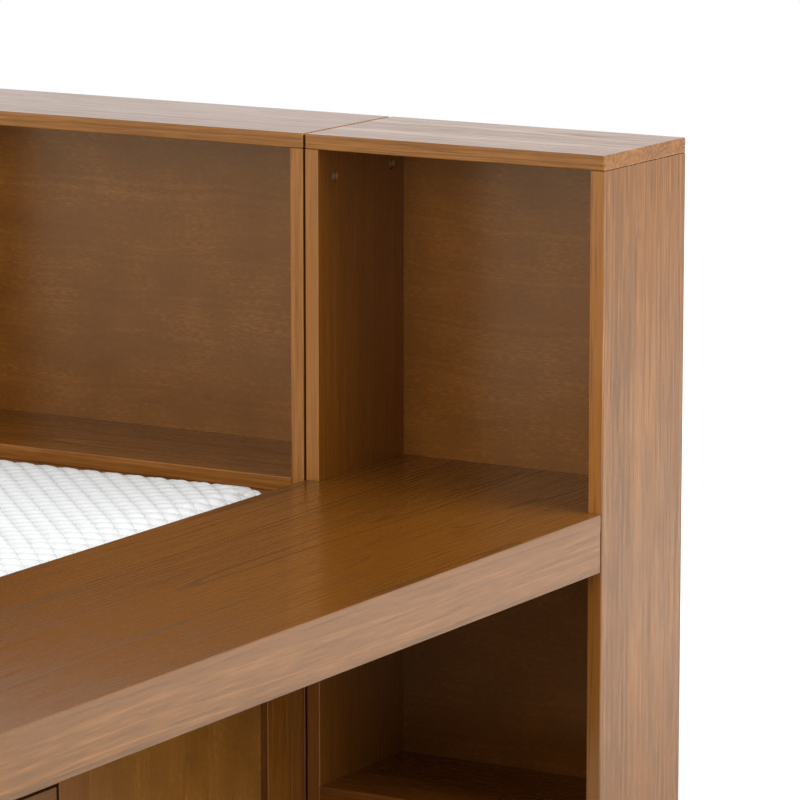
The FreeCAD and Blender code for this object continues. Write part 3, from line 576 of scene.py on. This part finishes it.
def knit_cover(name):
    """White polyester knit: soft, matt and very pale, with a fine stitch, and a little grey painted
    shade in the grooves between the puffs."""
    material = bpy.data.materials.new(name)
    material.use_nodes = True
    tree = material.node_tree
    shader = tree.nodes["Principled BSDF"]
    place = add(tree, "ShaderNodeTexCoord")
    yarn = add(
        tree, "ShaderNodeTexNoise",
        {"Vector": place.outputs["Object"], "Scale": YARNS_PER_METRE, "Detail": 2.0},
    ).outputs[0]

    # the painted groove shade runs on the puffs' own lattice, on the top only
    height = 1.0
    centred = add(
        tree, "ShaderNodeVectorMath", {0: place.outputs["Object"], 1: MATTRESS_MIDDLE},
        operation="SUBTRACT",
    ).outputs[0]
    for slant in (1, -1):
        run = add(
            tree, "ShaderNodeVectorMath", {0: centred, 1: (1, slant, 0)}, operation="DOT_PRODUCT",
        ).outputs["Value"]
        run = add(
            tree, "ShaderNodeMath", {0: run, 1: math.pi / (math.sqrt(2) * PUFF_CELL)},
            operation="MULTIPLY",
        ).outputs[0]
        wave = add(tree, "ShaderNodeMath", {0: run}, operation="SINE").outputs[0]
        height = add(tree, "ShaderNodeMath", {0: height, 1: wave}, operation="MULTIPLY").outputs[0]
    height = add(tree, "ShaderNodeMath", {0: height}, operation="ABSOLUTE").outputs[0]
    groove_shade = add(
        tree, "ShaderNodeMapRange",
        {"Value": height, "From Max": GROOVE_SHADE_WIDTH, "To Min": GROOVE_SHADE_SHARE, "To Max": 0.0},
    ).outputs[0]
    facing = add(tree, "ShaderNodeNewGeometry").outputs["Normal"]
    facing = add(tree, "ShaderNodeSeparateXYZ", {0: facing}).outputs[2]
    facing = add(
        tree, "ShaderNodeMapRange", {"Value": facing, "From Min": 0.3, "From Max": 0.6},
    ).outputs[0]
    groove_shade = add(tree, "ShaderNodeMath", {0: groove_shade, 1: facing}, operation="MULTIPLY").outputs[0]
    # the painted groove shade darkens the yarn towards the grey
    shaded_yarn = add(tree, "ShaderNodeMath", {0: yarn, 1: groove_shade}, operation="SUBTRACT").outputs[0]
    tint = add(tree, "ShaderNodeValToRGB", {"Fac": shaded_yarn})
    tint.color_ramp.elements[0].position = 0.0
    tint.color_ramp.elements[0].color = colour(KNIT_AND_GROOVE_SHADE[0])
    tint.color_ramp.elements[1].position = 0.75
    tint.color_ramp.elements[1].color = colour(KNIT_AND_GROOVE_SHADE[2])
    tint.color_ramp.elements.new(0.3).color = colour(KNIT_AND_GROOVE_SHADE[1])
    tree.links.new(tint.outputs["Color"], shader.inputs["Base Color"])
    bump = add(tree, "ShaderNodeBump", {"Height": yarn, "Strength": 0.3, "Distance": 0.0004})
    tree.links.new(bump.outputs[0], shader.inputs["Normal"])
    shader.inputs["Roughness"].default_value = 0.9
    shader.inputs["Specular IOR Level"].default_value = 0.2
    shader.inputs["Sheen Weight"].default_value = 0.15
    return material


def slice_up(shape, axis, places):
    """Cut a closed shape all the way round at each place along an axis."""
    normal = Vector([float(index == axis) for index in range(3)])
    for place in places:
        everything = [*shape.verts, *shape.edges, *shape.faces]
        bmesh.ops.bisect_plane(shape, geom=everything, plane_co=normal * place, plane_no=normal)


def swell(piece, pinned, limit):
    """Blow a closed cover up a little as cloth, held at its seams, and cap how far it moves."""
    rest = [vert.co.copy() for vert in piece.data.vertices]
    piece.vertex_groups.new(name="held").add(pinned, 1.0, "REPLACE")
    cloth = piece.modifiers.new("Cloth", "CLOTH")
    cloth.settings.use_pressure = True
    cloth.settings.uniform_pressure_force = CLOTH_PRESSURE
    cloth.settings.vertex_group_mass = "held"
    cloth.settings.effector_weights.gravity = 0
    for step in range(1, CLOTH_STEPS + 1):
        bpy.context.scene.frame_set(step)
    graph = bpy.context.evaluated_depsgraph_get()
    blown = [vert.co.copy() for vert in piece.evaluated_get(graph).data.vertices]
    piece.modifiers.remove(cloth)
    bpy.context.scene.frame_set(1)
    for vert, start, end in zip(piece.data.vertices, rest, blown):
        move = end - start
        vert.co = start + move * min(1.0, limit / max(move.length, 1e-9))


def puff_height(across, along):
    """Height of the knit's puffs: small pillows on a diamond lattice."""
    rising = math.sin(math.pi * (across + along) / (math.sqrt(2) * PUFF_CELL))
    falling = math.sin(math.pi * (across - along) / (math.sqrt(2) * PUFF_CELL))
    return PUFF * abs(rising * falling) ** 0.55


shell = bmesh.new()
start_size = MATTRESS_SIZE - Vector((2 * CROWN, 2 * CROWN, CROWN + PUFF))
bmesh.ops.create_cube(shell, size=1.0, matrix=Matrix.Diagonal((*start_size, 1)))
corners = [edge for edge in shell.edges if abs((edge.verts[0].co - edge.verts[1].co).z) > 0.01]
bmesh.ops.bevel(
    shell, geom=corners, offset=MATTRESS_CORNER, segments=6, profile=0.5, affect="EDGES", material=-1,
)
rims = [
    edge for edge in shell.edges
    if abs(edge.link_faces[0].normal.z) + abs(edge.link_faces[1].normal.z) > 0.5
]
bmesh.ops.bevel(
    shell, geom=rims, offset=MATTRESS_ROLL, segments=4, profile=0.5, affect="EDGES", material=-1,
)
for axis in (0, 1):
    count = round(start_size[axis] / BASE_CELL)
    slice_up(shell, axis, [start_size[axis] * (step / count - 0.5) for step in range(1, count)])
slice_up(shell, 2, [start_size.z * (share - 0.5) for share in SIDE_CUTS])
bmesh.ops.remove_doubles(shell, verts=shell.verts, dist=0.0008)
mattress_mesh = bpy.data.meshes.new("mattress_cover")
shell.to_mesh(mattress_mesh)
shell.free()
mattress = bpy.data.objects.new("mattress_cover", mattress_mesh)
bpy.context.scene.collection.objects.link(mattress)

# the underside, the seams and the stitched lines are held while the rest swells
lift = start_size.z / 2
held = [
    vert.index for vert in mattress_mesh.vertices
    if vert.co.z < -lift + 1e-4
    or any(abs(abs(vert.co.z) - lift + MATTRESS_ROLL * share) < 2e-4 for share in (0.05, 1.0))
    or any(abs(vert.co.z - start_size.z * (share - 0.5)) < 1e-4 for share in BORDER_LINES)
]
swell(mattress, held, SWELL_LIMIT)

# the top is cut finer and puffed, and the whole is brought back to the mattress's exact height
cover = bmesh.new()
cover.from_mesh(mattress_mesh)
top_faces = [face for face in cover.faces if face.normal.z > 0.5]
top_edges = list({edge for face in top_faces for edge in face.edges})
bmesh.ops.subdivide_edges(cover, edges=top_edges, cuts=PUFF_CUTS, use_grid_fill=True)
for vert in cover.verts:
    inner = min(MATTRESS_SIZE.x / 2 - abs(vert.co.x), MATTRESS_SIZE.y / 2 - abs(vert.co.y))
    if vert.co.z > lift - MATTRESS_ROLL / 2 and inner > CROWN:
        vert.co.z += puff_height(vert.co.x, vert.co.y) * min(1.0, (inner - CROWN) / PUFF_FADE)
for face in cover.faces:
    face.smooth = True
foot_now = min(vert.co.z for vert in cover.verts)
top_now = max(vert.co.z for vert in cover.verts)
stretch = MATTRESS_SIZE.z / (top_now - foot_now)
for vert in cover.verts:
    vert.co.z = (vert.co.z - foot_now) * stretch
seat = Vector((MATTRESS_MIDDLE.x, MATTRESS_MIDDLE.y, mattress_low.z))
bmesh.ops.translate(cover, verts=cover.verts, vec=seat)
cover.to_mesh(mattress_mesh)
cover.free()
knit = knit_cover("White polyester knit")
mattress_mesh.materials.append(knit)
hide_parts("mattress")
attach(mattress, "bed")

# both tapes follow the cover's outline in plan
outline = bmesh.new()
tape_span = Matrix.Diagonal((start_size.x, start_size.y, 1, 1))
bmesh.ops.create_grid(outline, x_segments=1, y_segments=1, size=0.5, matrix=tape_span)
bmesh.ops.bevel(
    outline, geom=list(outline.verts), offset=MATTRESS_CORNER, segments=8, profile=0.5,
    affect="VERTICES", material=-1,
)
outline.faces.ensure_lookup_table()
tape_route = [loop.vert.co.copy() for loop in outline.faces[0].loops]
outline.free()
for label, height in (
    ("mattress_top_tape", mattress_high.z - TAPE_SET), ("mattress_foot_tape", mattress_low.z + TAPE_SET),
):
    run = bpy.data.curves.new(label, "CURVE")
    run.dimensions = "3D"
    run.bevel_depth = TAPE
    run.bevel_resolution = 3
    spline = run.splines.new("POLY")
    spline.points.add(len(tape_route) - 1)
    for point, place in zip(spline.points, tape_route):
        point.co = (place.x + MATTRESS_MIDDLE.x, place.y + MATTRESS_MIDDLE.y, height, 1)
    spline.use_cyclic_u = True
    tape_curve = bpy.data.objects.new(f"{label}_run", run)
    tape_mesh = bpy.data.meshes.new_from_object(tape_curve)
    bpy.data.objects.remove(tape_curve)
    tape_mesh.materials.append(knit)
    tape = bpy.data.objects.new(label, tape_mesh)
    bpy.context.scene.collection.objects.link(tape)
    for face in tape_mesh.polygons:
        face.use_smooth = True
    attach(tape, "bed")


# Studio: a pale floor under a white surround, three large soft lights on the ledge's side, two in
# front, weak ones above and behind the left, and the camera where the photograph was taken.
def seen_white(tree, plain, bright):
    """Give one value to what lights the object and another to what the camera and gloss see."""
    path = add(tree, "ShaderNodeLightPath")
    seen = add(
        tree, "ShaderNodeMath",
        {0: path.outputs["Is Camera Ray"], 1: path.outputs["Is Glossy Ray"]}, operation="MAXIMUM",
    ).outputs[0]
    seen = add(
        tree, "ShaderNodeMath", {0: seen, 1: path.outputs["Is Transmission Ray"]},
        operation="MAXIMUM",
    ).outputs[0]
    return add(
        tree, "ShaderNodeMapRange", {"Value": seen, "To Min": plain, "To Max": bright},
    ).outputs[0]


# strengths: of the surround as light and as seen, of the floor's colour as light and as seen, and of
# its glow near the bed and far away, with the distances in metres between which it grows
SURROUND = (0.25, 1.0)
FLOOR_COLOUR = (0.35, 0.80)
FLOOR_GLOW = (0.35, 1.0)
GLOW_RADII = (1.4, 3.0)
world = bpy.data.worlds.new("White surround")
bpy.context.scene.world = world
world.use_nodes = True
backdrop = world.node_tree.nodes["Background"]
backdrop.inputs["Color"].default_value = (1, 1, 1, 1)
world.node_tree.links.new(seen_white(world.node_tree, *SURROUND), backdrop.inputs["Strength"])

# the floor fades into the white surround, so no horizon shows
FLOOR_RADIUS = 8.0
floor_shape = bmesh.new()
bmesh.ops.create_circle(floor_shape, cap_ends=True, segments=96, radius=FLOOR_RADIUS)
floor_mesh = bpy.data.meshes.new("floor")
floor_shape.to_mesh(floor_mesh)
floor_shape.free()
floor = bpy.data.objects.new("floor", floor_mesh)
bpy.context.scene.collection.objects.link(floor)
paint = bpy.data.materials.new("White studio floor")
paint.use_nodes = True
tree = paint.node_tree
matt = tree.nodes["Principled BSDF"]
place = add(tree, "ShaderNodeTexCoord")
spread = add(tree, "ShaderNodeVectorMath", {0: place.outputs["Object"]}, operation="LENGTH")
far = add(
    tree, "ShaderNodeMapRange",
    {
        "Value": spread.outputs["Value"], "From Min": GLOW_RADII[0], "From Max": GLOW_RADII[1],
        "To Min": FLOOR_GLOW[0], "To Max": FLOOR_GLOW[1],
    },
).outputs[0]
glow = add(tree, "ShaderNodeMath", {0: far, 1: seen_white(tree, 0.0, 1.0)}, operation="MULTIPLY")
tree.links.new(glow.outputs[0], matt.inputs["Emission Strength"])
tree.links.new(seen_white(tree, *FLOOR_COLOUR), matt.inputs["Base Color"])
matt.inputs["Roughness"].default_value = 1.0
matt.inputs["Specular IOR Level"].default_value = 0.0
matt.inputs["Emission Color"].default_value = (1, 1, 1, 1)
floor_mesh.materials.append(paint)

LIT_POINT = Vector((0.4, 0.6, 0.6))


def soft_light(name, azimuth, elevation, distance, size, power):
    """Add a large square lamp that looks at the bed's lit corner: azimuth 0 is the foot end's side,
    and 90 the ledge's side."""
    lamp = bpy.data.lights.new(name, "AREA")
    lamp.shape = "SQUARE"
    lamp.size = size
    lamp.energy = power
    stand = bpy.data.objects.new(name, lamp)
    bpy.context.scene.collection.objects.link(stand)
    swing, rise = math.radians(azimuth), math.radians(elevation)
    way = Vector((math.sin(swing) * math.cos(rise), -math.cos(swing) * math.cos(rise), math.sin(rise)))
    stand.location = LIT_POINT + way * distance
    stand.rotation_euler = (-way).to_track_quat("-Z", "Y").to_euler()
    stand.visible_camera = False


# each lamp: its name, azimuth and elevation in degrees, distance and size in metres, and watts
LAMPS = (
    ("key_light", 108, 15, 5.0, 3.0, 112),
    ("high_side_light", 100, 40, 4.5, 3.0, 112),
    ("side_fill_light", 85, 12, 5.0, 3.0, 44),
    ("front_light", 5, 15, 5.0, 3.0, 138),
    ("front_left_light", -45, 25, 5.0, 3.0, 25),
    ("top_light", 0, 85, 3.2, 3.0, 6),
    ("back_left_light", 258, 25, 5.0, 2.0, 36),
)
for lamp in LAMPS:
    soft_light(*lamp)

camera = bpy.data.objects.new("camera", bpy.data.cameras.new("camera"))
bpy.context.scene.collection.objects.link(camera)
camera.location = (3.58035, -4.0569, 1.6579)
camera.rotation_euler = (math.radians(79.703), 0, math.radians(30.837))
camera.data.sensor_width = 36
camera.data.lens = 212.71
bpy.context.scene.camera = camera
bpy.context.scene.view_settings.view_transform = "Standard"
